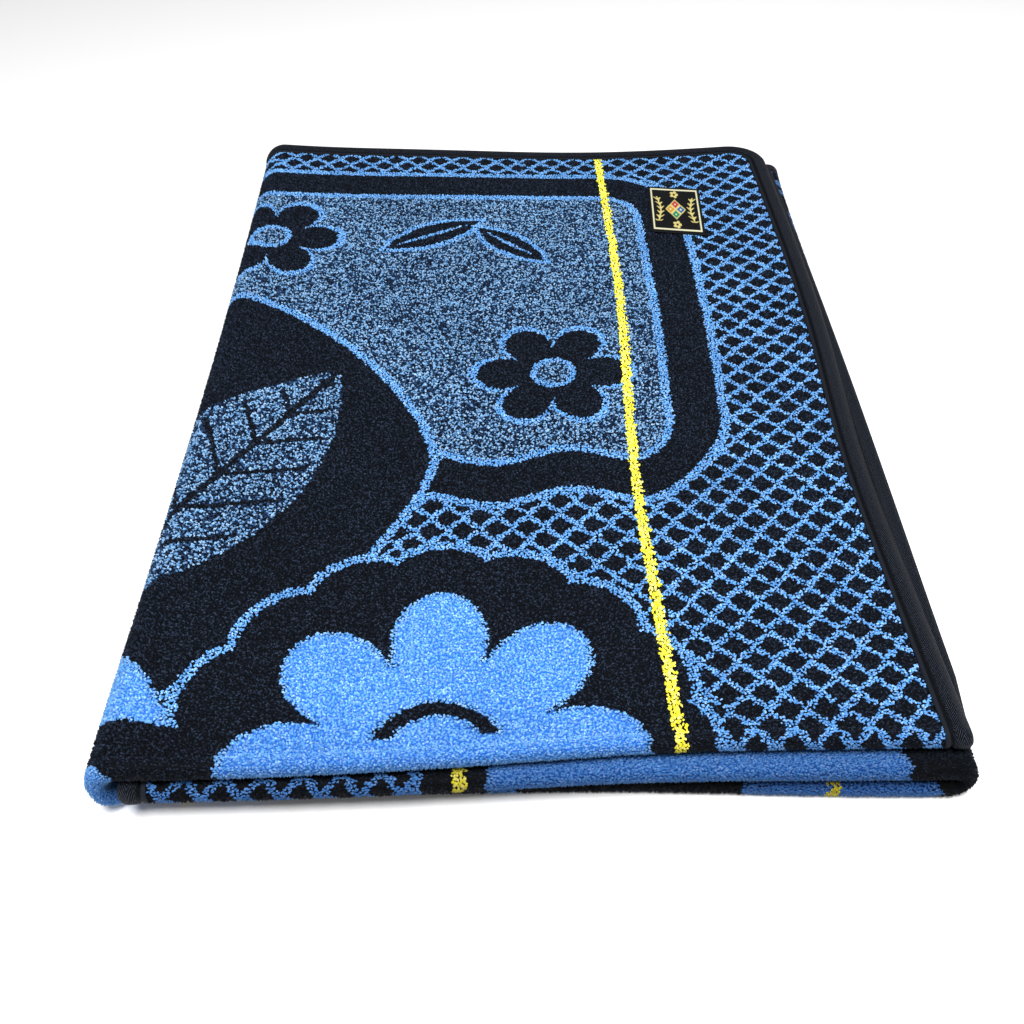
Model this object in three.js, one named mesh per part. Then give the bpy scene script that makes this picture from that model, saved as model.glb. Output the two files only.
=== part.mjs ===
// Folded Basotho blanket: one pile cloth, its bound edge and a sewn label.
// Millimetres, +Z up. X runs along the three-part letter fold, Y from the front fold to the back edges.
// The cloth is folded in half first, with the crease at the front, and the doubled strip
// is then folded in three from side to side, the loose end tucked inside.

import * as THREE from "three";

// The cloth laid out flat
const CLOTH_LENGTH = 1650;
const CLOTH_WIDTH = 1550;
const CORNER_RADIUS = 38;
const PLY = 6;
const HEM_PLY = 3;
const HEM_WIDTH = 18.5;
const HEM_SLOPE = 6.5;

// The folded stack
const PLY_GAP = 2;
const LAYER_GAP = 2;
const TOP_EDGE_INSET = 11;
const TUCKED_EDGE_INSET = 22.5;
const TOP_EDGE_SKEW = 9;
const TOP_EDGE_BOW = { depth: 9, fromFront: 260, reach: 150 };
const LOWER_PLY_REACH = { out: 7, fromFront: 70 };

// The edge binding and the label
const TAPE_THICKNESS = 1.2;
const TAPE_WIDTH = 16.5;
const SEWN_GAP = 0.3;
const LABEL = { width: 54, length: 92, thickness: 1, fromRight: 110, fromBack: 135.5 };
const LABEL_TILT = { ends: 0.2, sides: 0.07 };
const LABEL_GAP = 0.6;
const LABEL_GRID = { rows: 4, columns: 6 };

// The way the stack settles: rises and drops are shares of the height, depths and reaches millimetres
const FRONT_SWELL = { rise: 0.22, reach: 70 };
const LEFT_SWELL = { rise: 0.13, reach: 70 };
const BACK_DIP = { drop: 0.2, lean: 1.5 };
const RIPPLE = { rise: 0.02, short: 61, long: 170, shortTurn: 2, longTurn: 3 };
const FRONT_ARC = { depth: 4, reach: 200, middle: 0.62, spread: 0.22 };
const LEFT_TUCK = { depth: 4, reach: 45 };
const BOW = 5;
const SHEAR = 0.02;
const FLARE = 0.032;

// The middle of the settled stack, which becomes the origin
const MIDDLE = { x: 2.5, y: 388.25 };

// Worked out from the sizes above
const DOUBLE_PLY = 2 * PLY + PLY_GAP;
const LAYER_RISE = DOUBLE_PLY + LAYER_GAP;
const CREASE_RADIUS = (PLY + PLY_GAP) / 2;
const CREASE_LENGTH = Math.PI * CREASE_RADIUS;
const PLY_RUN = (CLOTH_WIDTH - CREASE_LENGTH) / 2;
const STACK_DEPTH = PLY_RUN + CREASE_RADIUS + PLY / 2;
const BOTTOM_LEVEL = DOUBLE_PLY / 2;
const LEFT_FOLD_RADIUS = LAYER_RISE;
const RIGHT_FOLD_RADIUS = LAYER_RISE / 2;
const LEFT_TURN = Math.PI * LEFT_FOLD_RADIUS;
const RIGHT_TURN = Math.PI * RIGHT_FOLD_RADIUS;
const LEFT_REACH = LEFT_FOLD_RADIUS + DOUBLE_PLY / 2;
const RIGHT_REACH = RIGHT_FOLD_RADIUS + DOUBLE_PLY / 2;
const INSETS = TOP_EDGE_INSET + TUCKED_EDGE_INSET + 2 * LEFT_REACH + 2 * RIGHT_REACH;
const FOLDED_WIDTH = (CLOTH_LENGTH - LEFT_TURN - RIGHT_TURN + INSETS) / 3;
const LEFT_FOLD_X = -FOLDED_WIDTH / 2 + LEFT_REACH;
const RIGHT_FOLD_X = FOLDED_WIDTH / 2 - RIGHT_REACH;
const TOP_RUN = FOLDED_WIDTH - TOP_EDGE_INSET - LEFT_REACH;
const BOTTOM_RUN = FOLDED_WIDTH - LEFT_REACH - RIGHT_REACH;
const INNER_RUN = FOLDED_WIDTH - RIGHT_REACH - TUCKED_EDGE_INSET;
const LEGS = [TOP_RUN, LEFT_TURN, BOTTOM_RUN, RIGHT_TURN, INNER_RUN];

// Where the front crease and the two back edges lie along the letter fold, in millimetres.
// front counts back from the front line, outer and inner from the back line, and wide is how far
// the back corner spreads to the right. A place is a leg's number and the share of that leg.
const LAY = [
  { place: 0, front: 15, outer: 0, inner: -7, wide: 0 },
  { place: 1, front: 4, outer: 5, inner: -3, wide: 0 },
  { place: 1.6, front: 3, outer: 0, inner: -6, wide: 0 },
  { place: 2, front: 12, outer: -4, inner: -9, wide: 0 },
  { place: 2.12, front: 13, outer: -7, inner: -11, wide: 0 },
  { place: 3, front: 2, outer: -14, inner: -19, wide: 6 },
  { place: 4, front: 3, outer: -17, inner: -23, wide: 6 },
  { place: 5, front: 0, outer: -10, inner: -16, wide: 0 },
];
const WIDE_REACH = 55;

const mix = (a, b, share) => a + (b - a) * share;
const clamp = (value) => Math.min(1, Math.max(0, value));
const ease = (share) => clamp(share) ** 2 * (3 - 2 * clamp(share));

// The leg of the letter fold that holds a place along the cloth, and the share of the leg up to it
function legOf(along) {
  let leg = 0;
  let start = 0;
  while (leg < LEGS.length - 1 && along > start + LEGS[leg]) {
    start += LEGS[leg];
    leg += 1;
  }
  return { leg, share: (along - start) / LEGS[leg] };
}

// The lay at a place along the letter fold, eased from one row of the table to the next
function layAt(place) {
  const next = LAY.findIndex((row, k) => k > 0 && (place <= row.place || k === LAY.length - 1));
  const [from, to] = [LAY[next - 1], LAY[next]];
  const share = ease((place - from.place) / (to.place - from.place));
  const lay = {};
  for (const key of ["front", "outer", "inner", "wide"]) lay[key] = mix(from[key], to[key], share);
  return lay;
}

// A place across the cloth as depth y, height off the doubled layer's middle and the outward direction
function hairpin(across, lay) {
  const turnY = lay.front + CREASE_RADIUS + PLY / 2;
  if (across <= PLY_RUN) {
    const y = mix(STACK_DEPTH + lay.outer, turnY, across / PLY_RUN);
    return { y, off: CREASE_RADIUS, outY: 0, outOff: 1 };
  }
  if (across < PLY_RUN + CREASE_LENGTH) {
    const angle = (across - PLY_RUN) / CREASE_RADIUS;
    const outY = -Math.sin(angle);
    const outOff = Math.cos(angle);
    return { y: turnY + CREASE_RADIUS * outY, off: CREASE_RADIUS * outOff, outY, outOff };
  }
  const share = (across - PLY_RUN - CREASE_LENGTH) / PLY_RUN;
  return { y: mix(turnY, STACK_DEPTH + lay.inner, share), off: -CREASE_RADIUS, outY: 0, outOff: -1 };
}

// The centre line of the doubled layer on a leg of the letter fold, and its outward direction
function letterFold(leg, share, rightEdgeX) {
  const angle = Math.PI * share;
  const [sine, cosine] = [Math.sin(angle), Math.cos(angle)];
  const innerLevel = BOTTOM_LEVEL + LAYER_RISE;
  const topLevel = innerLevel + LAYER_RISE;
  const tuckedX = RIGHT_FOLD_X - INNER_RUN;
  const places = [
    { x: mix(rightEdgeX, LEFT_FOLD_X, share), z: topLevel, outX: 0, outZ: 1 },
    {
      x: LEFT_FOLD_X - LEFT_FOLD_RADIUS * sine,
      z: innerLevel + LEFT_FOLD_RADIUS * cosine,
      outX: -sine,
      outZ: cosine,
    },
    { x: mix(LEFT_FOLD_X, RIGHT_FOLD_X, share), z: BOTTOM_LEVEL, outX: 0, outZ: -1 },
    {
      x: RIGHT_FOLD_X + RIGHT_FOLD_RADIUS * sine,
      z: BOTTOM_LEVEL + RIGHT_FOLD_RADIUS * (1 - cosine),
      outX: sine,
      outZ: -cosine,
    },
    { x: mix(RIGHT_FOLD_X, tuckedX, share), z: innerLevel, outX: 0, outZ: 1 },
  ];
  return places[leg];
}

// The whole stack swells at its folds, dips between them at the back, bows, flares and shears a little.
// Heights are only scaled, so the underside stays flat.
function settle(x, y, z) {
  const back = clamp(y / STACK_DEPTH);
  const right = clamp(x / FOLDED_WIDTH + 0.5);
  const fromFront = Math.max(0, y);
  const swell =
    FRONT_SWELL.rise * Math.exp(-fromFront / FRONT_SWELL.reach) +
    LEFT_SWELL.rise * Math.exp((-right * FOLDED_WIDTH) / LEFT_SWELL.reach) -
    BACK_DIP.drop * back ** 2 * Math.sin(Math.PI * right ** BACK_DIP.lean) +
    RIPPLE.rise *
      Math.sin(x / RIPPLE.short + RIPPLE.shortTurn * back) *
      Math.sin(x / RIPPLE.long + RIPPLE.longTurn * back);
  const arc =
    FRONT_ARC.depth *
    Math.exp(-(((right - FRONT_ARC.middle) / FRONT_ARC.spread) ** 2)) *
    Math.exp(-fromFront / FRONT_ARC.reach);
  const tuck = LEFT_TUCK.depth * (1 - right) * Math.exp(-fromFront / LEFT_TUCK.reach);
  return new THREE.Vector3(
    x * (1 + FLARE * (back - 0.5)) + BOW * Math.sin(Math.PI * back) + tuck - MIDDLE.x,
    y + SHEAR * x + arc - MIDDLE.y,
    z * (1 + swell),
  );
}

// The open right edge, which leans in towards the back. The upper ply bows in at its middle, and the
// lower ply shows beyond it.
function rightEdge(y, lower) {
  const skew = TOP_EDGE_SKEW * clamp(y / STACK_DEPTH);
  const nearMiddle = Math.exp(-(((y - TOP_EDGE_BOW.fromFront) / TOP_EDGE_BOW.reach) ** 2));
  const bow = (1 - lower) * TOP_EDGE_BOW.depth * nearMiddle;
  const beyond = lower * LOWER_PLY_REACH.out * clamp(y / LOWER_PLY_REACH.fromFront);
  return FOLDED_WIDTH / 2 - TOP_EDGE_INSET - skew - bow + beyond;
}

// The place in space of a point of the flat cloth, lifted off the ply's middle towards its outer face
function clothPoint(along, across, lift) {
  const { leg, share } = legOf(along);
  const lay = layAt(leg + share);
  const pin = hairpin(across, lay);
  const y = pin.y + lift * pin.outY;
  const off = pin.off + lift * pin.outOff;
  const lower = (1 - pin.off / CREASE_RADIUS) / 2;
  const fold = letterFold(leg, share, rightEdge(y, lower));
  const wide = lay.wide * Math.exp((y - STACK_DEPTH) / WIDE_REACH);
  return settle(fold.x + off * fold.outX + wide, y, fold.z + off * fold.outZ);
}

// Distance from the cloth's rounded outline, inwards
function fromEdge(along, across) {
  const a = Math.min(along, CLOTH_LENGTH - along);
  const b = Math.min(across, CLOTH_WIDTH - across);
  if (a < CORNER_RADIUS && b < CORNER_RADIUS)
    return CORNER_RADIUS - Math.hypot(CORNER_RADIUS - a, CORNER_RADIUS - b);
  return Math.min(a, b);
}

// The pile is pressed flat under the binding
const plyAt = (along, across) =>
  mix(HEM_PLY, PLY, clamp((fromEdge(along, across) - HEM_WIDTH) / HEM_SLOPE));

// Steps of the cloth's grid round a corner, and on each leg of the letter fold
const CORNER_STEPS = 6;
const LEG_STEPS = [7, 10, 8, 8, 7];

// Lines of the cloth's grid along its length, close together at the round corners and the folds
function linesAlong() {
  const corner = [];
  for (let step = 0; step < CORNER_STEPS; step += 1) {
    const angle = ((step / CORNER_STEPS) * Math.PI) / 2;
    corner.push(CORNER_RADIUS * (1 - Math.cos(angle)));
  }
  const lines = [...corner];
  let start = 0;
  LEGS.forEach((length, leg) => {
    const from = leg === 0 ? CORNER_RADIUS : 0;
    const to = leg === LEGS.length - 1 ? length - CORNER_RADIUS : length;
    const steps = LEG_STEPS[leg];
    for (let step = 0; step < steps; step += 1) lines.push(start + mix(from, to, step / steps));
    start += length;
  });
  lines.push(CLOTH_LENGTH - CORNER_RADIUS);
  corner.reverse().forEach((inset) => lines.push(CLOTH_LENGTH - inset));
  return lines;
}

// Shares of a ply's run from the back edge to the front crease, close together where the front swells
const RUN_SHARES = [0, 0.15, 0.32, 0.5, 0.67, 0.8, 0.89, 0.95, 0.98, 1];
const CREASE_STEPS = 8;

// Lines across the cloth at one place along it: hem, ply, crease, ply, hem
function linesAcross(along) {
  const a = Math.min(along, CLOTH_LENGTH - along);
  const reach = CORNER_RADIUS - Math.min(a, CORNER_RADIUS);
  const trim = CORNER_RADIUS - Math.sqrt(CORNER_RADIUS ** 2 - reach ** 2);
  const hem = trim + HEM_WIDTH + HEM_SLOPE;
  const outer = [trim, trim + HEM_WIDTH, ...RUN_SHARES.map((share) => mix(hem, PLY_RUN, share))];
  const crease = [];
  for (let step = 1; step < CREASE_STEPS; step += 1)
    crease.push(PLY_RUN + (CREASE_LENGTH * step) / CREASE_STEPS);
  const inner = outer.map((across) => CLOTH_WIDTH - across).reverse();
  return [...outer, ...crease, ...inner];
}

// A solid from its points and the triangles between them, each turned outwards
function solidFromFaces(points, faces) {
  const places = points.flatMap((point) => point.toArray());
  const geometry = new THREE.BufferGeometry();
  geometry.setAttribute("position", new THREE.Float32BufferAttribute(places, 3));
  geometry.setIndex(faces.flat());
  geometry.computeVertexNormals();
  return geometry;
}

// The grid places round the rim of a sheet, in order
function rimOf(rows, columns) {
  const rim = [];
  for (let i = 0; i + 1 < rows; i += 1) rim.push([i, 0]);
  for (let j = 0; j + 1 < columns; j += 1) rim.push([rows - 1, j]);
  for (let i = rows - 1; i > 0; i -= 1) rim.push([i, columns - 1]);
  for (let j = columns - 1; j > 0; j -= 1) rim.push([0, j]);
  return rim;
}

// A sheet with an outer face (side 1), an inner face (side -1) and a wall round its rim.
// pointAt gives the place of a grid point on one of the two faces.
function sheetGeometry(rows, columns, pointAt) {
  const points = [];
  for (const side of [1, -1])
    for (let i = 0; i < rows; i += 1)
      for (let j = 0; j < columns; j += 1) points.push(pointAt(i, j, side));
  const at = (i, j, side) => (side > 0 ? 0 : rows * columns) + i * columns + j;
  const faces = [];
  for (let i = 0; i + 1 < rows; i += 1)
    for (let j = 0; j + 1 < columns; j += 1)
      for (const side of [1, -1]) {
        const [a, b] = [at(i, j, side), at(i + 1, j, side)];
        const [c, d] = [at(i + 1, j + 1, side), at(i, j + 1, side)];
        if (side > 0) faces.push([a, b, c], [a, c, d]);
        else faces.push([a, c, b], [a, d, c]);
      }
  const rim = rimOf(rows, columns);
  rim.forEach(([i, j], k) => {
    const [m, n] = rim[(k + 1) % rim.length];
    const [a, b, c, d] = [at(i, j, 1), at(m, n, 1), at(m, n, -1), at(i, j, -1)];
    faces.push([a, c, b], [a, d, c]);
  });
  return solidFromFaces(points, faces);
}

function clothGeometry() {
  const alongLines = linesAlong();
  const grid = alongLines.map((along) => linesAcross(along));
  return sheetGeometry(alongLines.length, grid[0].length, (i, j, side) => {
    const across = grid[i][j];
    return clothPoint(alongLines[i], across, (side * plyAt(alongLines[i], across)) / 2);
  });
}

// The cloth's outline as a closed walk of places on the flat cloth
function outline() {
  const alongLines = linesAlong();
  const columns = linesAcross(0).length;
  return rimOf(alongLines.length, columns).map(([i, j]) => [alongLines[i], linesAcross(alongLines[i])[j]]);
}

// The binding's channel section: reach inwards from the cloth's edge, and height off the ply's middle
function tapeSection() {
  const inside = HEM_PLY / 2 + SEWN_GAP;
  const outside = inside + TAPE_THICKNESS;
  const nose = -SEWN_GAP - TAPE_THICKNESS;
  return [
    [TAPE_WIDTH, outside],
    [nose / 2, outside],
    [nose, inside],
    [nose, -inside],
    [nose / 2, -outside],
    [TAPE_WIDTH, -outside],
    [TAPE_WIDTH, -inside],
    [-SEWN_GAP, -inside],
    [-SEWN_GAP, inside],
    [TAPE_WIDTH, inside],
  ];
}

// Unit direction on the flat cloth from a place on its outline straight inwards
function inwards(along, across) {
  const a = Math.min(CLOTH_LENGTH - CORNER_RADIUS, Math.max(CORNER_RADIUS, along)) - along;
  const b = Math.min(CLOTH_WIDTH - CORNER_RADIUS, Math.max(CORNER_RADIUS, across)) - across;
  const reach = Math.hypot(a, b);
  return [a / reach, b / reach];
}

function bindingGeometry() {
  const walk = outline();
  const section = tapeSection();
  const points = walk.flatMap(([along, across]) => {
    const [a, b] = inwards(along, across);
    return section.map(([reach, lift]) => clothPoint(along + reach * a, across + reach * b, lift));
  });
  const count = walk.length;
  const size = section.length;
  const faces = [];
  for (let k = 0; k < count; k += 1)
    for (let n = 0; n < size; n += 1) {
      const next = (k + 1) % count;
      const [a, b] = [k * size + n, next * size + n];
      const [c, d] = [next * size + ((n + 1) % size), k * size + ((n + 1) % size)];
      faces.push([a, c, b], [a, d, c]);
    }
  return solidFromFaces(points, faces);
}

function labelGeometry() {
  const { rows, columns } = LABEL_GRID;
  const low = PLY / 2 + LABEL_GAP;
  return sheetGeometry(rows, columns, (i, j, side) => {
    const a = LABEL.width * (i / (rows - 1) - 0.5);
    const b = LABEL.length * (j / (columns - 1) - 0.5);
    const along = LABEL.fromRight + a * Math.cos(LABEL_TILT.ends) + b * Math.sin(LABEL_TILT.sides);
    const across = LABEL.fromBack + b * Math.cos(LABEL_TILT.sides) - a * Math.sin(LABEL_TILT.ends);
    return clothPoint(along, across, side > 0 ? low + LABEL.thickness : low);
  });
}

function piece(name, geometry, color, roughness) {
  const material = new THREE.MeshStandardMaterial({ color, roughness, metalness: 0 });
  const mesh = new THREE.Mesh(geometry, material);
  mesh.name = name;
  return mesh;
}

const blanket = new THREE.Group();
blanket.add(piece("blanket_cloth", clothGeometry(), 0x4f86d0, 0.95));
blanket.add(piece("edge_binding", bindingGeometry(), 0x1c1e22, 0.6));
blanket.add(piece("woven_label", labelGeometry(), 0x15161a, 0.7));

export default blanket;
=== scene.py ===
import math

import bpy
import numpy as np
from mathutils import Matrix, Vector


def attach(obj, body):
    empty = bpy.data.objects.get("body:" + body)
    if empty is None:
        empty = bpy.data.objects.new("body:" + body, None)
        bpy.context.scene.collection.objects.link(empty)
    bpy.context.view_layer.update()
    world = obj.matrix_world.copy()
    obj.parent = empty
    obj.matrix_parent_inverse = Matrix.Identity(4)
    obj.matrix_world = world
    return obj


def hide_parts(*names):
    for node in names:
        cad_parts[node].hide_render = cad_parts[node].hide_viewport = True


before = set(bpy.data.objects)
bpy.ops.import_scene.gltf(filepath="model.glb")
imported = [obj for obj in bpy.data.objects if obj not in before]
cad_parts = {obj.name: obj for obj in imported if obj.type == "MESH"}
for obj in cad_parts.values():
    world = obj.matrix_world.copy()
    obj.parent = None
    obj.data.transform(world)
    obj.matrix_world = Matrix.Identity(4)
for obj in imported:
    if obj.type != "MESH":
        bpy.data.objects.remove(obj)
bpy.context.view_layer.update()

# A folded pile blanket. All shapes are worked out in millimetres and put into the meshes in metres.
MILLIMETRE = 0.001

# Camera and frame
CAMERA_PLACE = (-0.0171, -0.6818, 0.5928)
CAMERA_DOWN = 46.99
CAMERA_TURN = 0.16
CAMERA_ROLL = -0.17
CAMERA_LENS = 35.54
SENSOR_WIDTH = 36.0

# The cloth laid out flat, and its layers folded, as in the solids
CLOTH_LENGTH = 1650.0
CLOTH_WIDTH = 1550.0
CORNER_RADIUS = 38.0
PLY = 6.0
HEM_PLY = 3.0
PLY_GAP = 2.0
LAYER_GAP = 2.0
TOP_EDGE_INSET = 11.0
TUCKED_EDGE_INSET = 22.5
TOP_EDGE_SKEW = 9.0
TOP_EDGE_BOW = {"depth": 9.0, "from_front": 260.0, "reach": 150.0}
LOWER_PLY_REACH = {"out": 7.0, "from_front": 70.0}
TAPE_WIDTH = 16.5

# The way the stack settles: rises and drops are shares of the height, depths and reaches millimetres
FRONT_SWELL = {"rise": 0.22, "reach": 70.0}
LEFT_SWELL = {"rise": 0.13, "reach": 70.0}
BACK_DIP = {"drop": 0.2, "lean": 1.5}
RIPPLE = {"rise": 0.02, "short": 61.0, "long": 170.0, "short_turn": 2.0, "long_turn": 3.0}
FRONT_ARC = {"depth": 4.0, "reach": 200.0, "middle": 0.62, "spread": 0.22}
LEFT_TUCK = {"depth": 4.0, "reach": 45.0}
BOW = 5.0
SHEAR = 0.02
FLARE = 0.032
WIDE_REACH = 55.0
MIDDLE = (2.5, 388.25)

# Worked out from the sizes above
DOUBLE_PLY = 2 * PLY + PLY_GAP
LAYER_RISE = DOUBLE_PLY + LAYER_GAP
CREASE_RADIUS = (PLY + PLY_GAP) / 2
CREASE_LENGTH = math.pi * CREASE_RADIUS
PLY_RUN = (CLOTH_WIDTH - CREASE_LENGTH) / 2
STACK_DEPTH = PLY_RUN + CREASE_RADIUS + PLY / 2
BOTTOM_LEVEL = DOUBLE_PLY / 2
LEFT_RADIUS = LAYER_RISE
RIGHT_RADIUS = LAYER_RISE / 2
LEFT_REACH = LEFT_RADIUS + DOUBLE_PLY / 2
RIGHT_REACH = RIGHT_RADIUS + DOUBLE_PLY / 2
LEFT_TURN = math.pi * LEFT_RADIUS
RIGHT_TURN = math.pi * RIGHT_RADIUS
INSETS = TOP_EDGE_INSET + TUCKED_EDGE_INSET + 2 * LEFT_REACH + 2 * RIGHT_REACH
FOLDED_WIDTH = (CLOTH_LENGTH - LEFT_TURN - RIGHT_TURN + INSETS) / 3
LEFT_FOLD_X = -FOLDED_WIDTH / 2 + LEFT_REACH
RIGHT_FOLD_X = FOLDED_WIDTH / 2 - RIGHT_REACH
LEGS = np.array(
    [
        FOLDED_WIDTH - TOP_EDGE_INSET - LEFT_REACH,
        LEFT_TURN,
        FOLDED_WIDTH - LEFT_REACH - RIGHT_REACH,
        RIGHT_TURN,
        FOLDED_WIDTH - RIGHT_REACH - TUCKED_EDGE_INSET,
    ]
)
LEG_STARTS = np.concatenate([[0.0], np.cumsum(LEGS)])
LEFT_FOLD_AT, BOTTOM_AT, RIGHT_FOLD_AT, INNER_AT = LEG_STARTS[1:5]

# Leg and share of it, then millimetres: crease back from the front line, the outer and the inner edge
# out from the back line, and how far the back corner spreads to the right
LAY = np.array(
    [
        (0.0, 15, 0, -7, 0),
        (1.0, 4, 5, -3, 0),
        (1.6, 3, 0, -6, 0),
        (2.0, 12, -4, -9, 0),
        (2.12, 13, -7, -11, 0),
        (3.0, 2, -14, -19, 6),
        (4.0, 3, -17, -23, 6),
        (5.0, 0, -10, -16, 0),
    ]
)


def linear(hex_colour):
    """sRGB hex such as "#4f94e8" to linear red, green, blue and alpha."""
    parts = [int(hex_colour[i : i + 2], 16) / 255 for i in (1, 3, 5)]
    return [c / 12.92 if c <= 0.04045 else ((c + 0.055) / 1.055) ** 2.4 for c in parts] + [1.0]


def eased(share):
    """Smooth step from 0 to 1: three squares less two cubes of the share."""
    held = np.clip(share, 0, 1)
    return held * held * (3 - 2 * held)


def cloth_point(along, across, lift):
    """Flat cloth to the folded stack, in millimetres. along runs from the top layer's open edge round the
    letter fold, across from the back edge round the front crease, and lift is off the ply's middle towards
    the outer face. Each ply runs straight, turns a half circle at the front crease, and the doubled layer
    turns a half circle at the left and the right fold. The open right edge leans in towards the back, its
    upper ply bowed in at the middle. Then heights swell and dip, and the plan bows, flares and shears."""
    along, across, lift = np.broadcast_arrays(*(np.asarray(a, float) for a in (along, across, lift)))
    leg = np.clip(np.searchsorted(LEG_STARTS[1:], along), 0, len(LEGS) - 1)
    share = (along - LEG_STARTS[leg]) / LEGS[leg]
    row = np.clip(np.searchsorted(LAY[:, 0], leg + share), 1, len(LAY) - 1)
    step = eased((leg + share - LAY[row - 1, 0]) / (LAY[row, 0] - LAY[row - 1, 0]))
    front, outer, inner, wide = np.moveaxis(
        LAY[row - 1, 1:] + (LAY[row, 1:] - LAY[row - 1, 1:]) * step[..., None], -1, 0
    )

    turn_y = front + CREASE_RADIUS + PLY / 2
    angle = np.clip((across - PLY_RUN) / CREASE_RADIUS, 0, math.pi)
    first = np.minimum(across / PLY_RUN, 1)
    second = np.maximum((across - PLY_RUN - CREASE_LENGTH) / PLY_RUN, 0)
    y = np.where(
        across <= PLY_RUN,
        STACK_DEPTH + outer + (turn_y - STACK_DEPTH - outer) * first,
        turn_y + (STACK_DEPTH + inner - turn_y) * second,
    )
    y = y - (CREASE_RADIUS + lift) * np.sin(angle)
    lower = (1 - np.cos(angle)) / 2
    off = (CREASE_RADIUS + lift) * np.cos(angle)

    skew = TOP_EDGE_SKEW * np.clip(y / STACK_DEPTH, 0, 1)
    near_middle = np.exp(-(((y - TOP_EDGE_BOW["from_front"]) / TOP_EDGE_BOW["reach"]) ** 2))
    bow = (1 - lower) * TOP_EDGE_BOW["depth"] * near_middle
    beyond = lower * LOWER_PLY_REACH["out"] * np.clip(y / LOWER_PLY_REACH["from_front"], 0, 1)
    right_edge_x = FOLDED_WIDTH / 2 - TOP_EDGE_INSET - skew - bow + beyond
    turn = math.pi * share
    sine, cosine, none = np.sin(turn), np.cos(turn), 0 * turn
    inner_level = BOTTOM_LEVEL + LAYER_RISE
    fold_x = np.choose(
        leg,
        [
            right_edge_x + (LEFT_FOLD_X - right_edge_x) * share,
            LEFT_FOLD_X - LEFT_RADIUS * sine,
            LEFT_FOLD_X + (RIGHT_FOLD_X - LEFT_FOLD_X) * share,
            RIGHT_FOLD_X + RIGHT_RADIUS * sine,
            RIGHT_FOLD_X - LEGS[4] * share,
        ],
    )
    fold_z = np.choose(
        leg,
        [
            none + inner_level + LAYER_RISE,
            inner_level + LEFT_RADIUS * cosine,
            none + BOTTOM_LEVEL,
            BOTTOM_LEVEL + RIGHT_RADIUS * (1 - cosine),
            none + inner_level,
        ],
    )
    out_x = np.choose(leg, [none, -sine, none, sine, none])
    out_z = np.choose(leg, [none + 1, cosine, none - 1, -cosine, none + 1])
    x = fold_x + off * out_x + wide * np.exp((y - STACK_DEPTH) / WIDE_REACH)
    z = fold_z + off * out_z

    back = np.clip(y / STACK_DEPTH, 0, 1)
    right = np.clip(x / FOLDED_WIDTH + 0.5, 0, 1)
    from_front = np.maximum(0, y)
    swell = (
        FRONT_SWELL["rise"] * np.exp(-from_front / FRONT_SWELL["reach"])
        + LEFT_SWELL["rise"] * np.exp(-right * FOLDED_WIDTH / LEFT_SWELL["reach"])
        - BACK_DIP["drop"] * back**2 * np.sin(math.pi * right ** BACK_DIP["lean"])
        + RIPPLE["rise"]
        * np.sin(x / RIPPLE["short"] + RIPPLE["short_turn"] * back)
        * np.sin(x / RIPPLE["long"] + RIPPLE["long_turn"] * back)
    )
    arc = (
        FRONT_ARC["depth"]
        * np.exp(-(((right - FRONT_ARC["middle"]) / FRONT_ARC["spread"]) ** 2))
        * np.exp(-from_front / FRONT_ARC["reach"])
    )
    tuck = LEFT_TUCK["depth"] * (1 - right) * np.exp(-from_front / LEFT_TUCK["reach"])
    return np.stack(
        [
            x * (1 + FLARE * (back - 0.5)) + BOW * np.sin(math.pi * back) + tuck - MIDDLE[0],
            y + SHEAR * x + arc - MIDDLE[1],
            z * (1 + swell),
        ],
        -1,
    )


def from_edge(along, across):
    """Distance inwards from the flat cloth's outline: the nearer side's, or at a round corner its radius
    less the distance from the corner's centre."""
    a = np.minimum(along, CLOTH_LENGTH - along)
    b = np.minimum(across, CLOTH_WIDTH - across)
    corner = CORNER_RADIUS - np.hypot(CORNER_RADIUS - a, CORNER_RADIUS - b)
    return np.where((a < CORNER_RADIUS) & (b < CORNER_RADIUS), corner, np.minimum(a, b))


# The woven pattern, in millimetres on the flat cloth. LOZENGE is a lozenge's share of its repeat along and
# across. PICK is a row's depth, RAGGED how far rows shift, and DASH the length of the marl's dashes. The
# stripes' left teeth are a share of the rows' shift, and their right teeth a share of the left ones.
PATTERN_AXIS_ALONG = 812.0
PATTERN_AXIS_ACROSS = 775.0
STRIPES = (181.0, 609.0, 1025.0, 1441.0)
STRIPE_WANDER = {"out": 3.2, "at": 500.0, "reach": 190.0}
STRIPE_HALF = 3.9
STRIPE_TEETH = (1.3, 0.3)
LATTICE_PITCH = (24.5, 25.9)
LOZENGE = (0.84, 0.685)
LINE_HALF = 3.9
FINE_LINE_HALF = 3.0
PICK = 1.7
RAGGED = 1.3
DASH = 1.9
MARL_LIGHT_SHARE = 0.48
BLACK, BLUE, YELLOW, MARL_DARK, MARL_LIGHT, SOLID_BLUE = range(6)

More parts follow.
